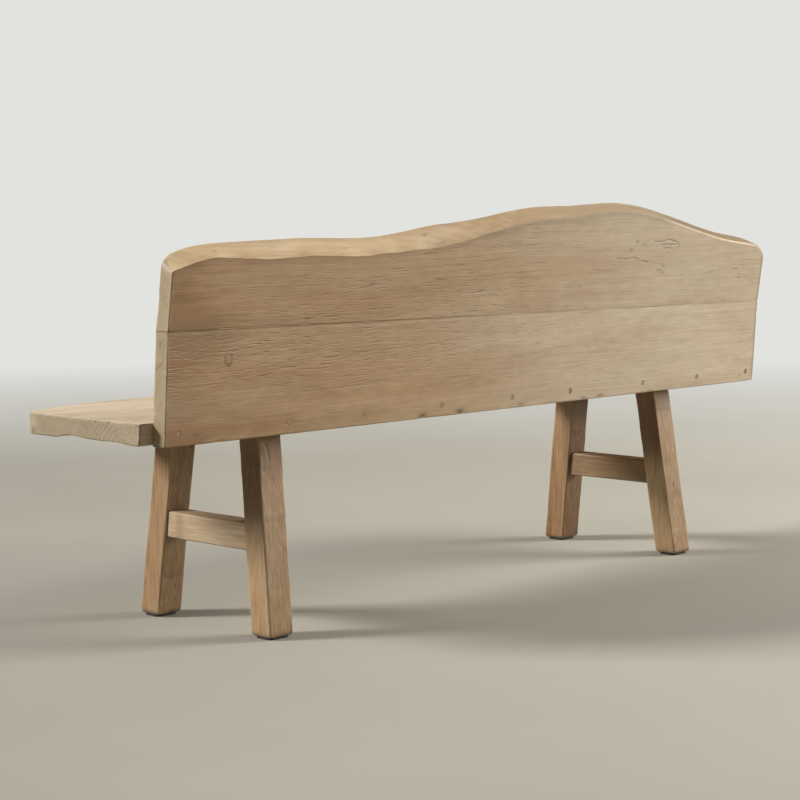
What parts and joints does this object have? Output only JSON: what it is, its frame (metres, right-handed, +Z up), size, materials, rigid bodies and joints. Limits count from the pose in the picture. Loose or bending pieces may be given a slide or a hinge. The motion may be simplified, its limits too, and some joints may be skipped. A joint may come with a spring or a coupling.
{
  "type": "entry bench",
  "caption": "Rustic hardwood bench with a live-edge plank seat, a leaning two-plank back with a wavy waney top edge, splayed legs and short side stretchers.",
  "frame": {"origin": "on the floor, under the middle of the bench's bounding box", "axes": "+X along the bench to its right end as seen from the front, +Y from the seat's front edge towards the back, +Z up"},
  "size_m": [1.962, 0.4943, 0.8488],
  "materials": {
    "seat_wood": "bleached weathered hardwood, pale and matt",
    "back_lower_wood": "bleached weathered hardwood with torn grain, matt",
    "back_upper_wood": "bleached weathered hardwood with a warm waney edge, matt",
    "leg_wood": "warm brown hardwood with worn edges, matt",
    "wedge_wood": "dark hardwood wedge, matt",
    "plug_wood": "dull end-grain plug",
    "dowel_wood": "plain turned dowel",
    "screw_steel": "plain steel wood screw",
    "pad_felt": "black felt pad"
  },
  "bodies": {
    "root": {"seat_plank": "seat_wood", "back_lower_plank": "back_lower_wood", "back_upper_plank": "back_upper_wood", "back_joint_dowels": "dowel_wood", "back_screws": "screw_steel", "screw_plugs": "plug_wood", "stretcher_right": "leg_wood", "stretcher_left": "leg_wood", "leg_front_right": "leg_wood", "wedge_front_right": "wedge_wood", "foot_pad_front_right": "pad_felt", "leg_front_left": "leg_wood", "wedge_front_left": "wedge_wood", "foot_pad_front_left": "pad_felt", "leg_rear_right": "leg_wood", "wedge_rear_right": "wedge_wood", "foot_pad_rear_right": "pad_felt", "leg_rear_left": "leg_wood", "wedge_rear_left": "wedge_wood", "foot_pad_rear_left": "pad_felt"}
  },
  "joints": []
}
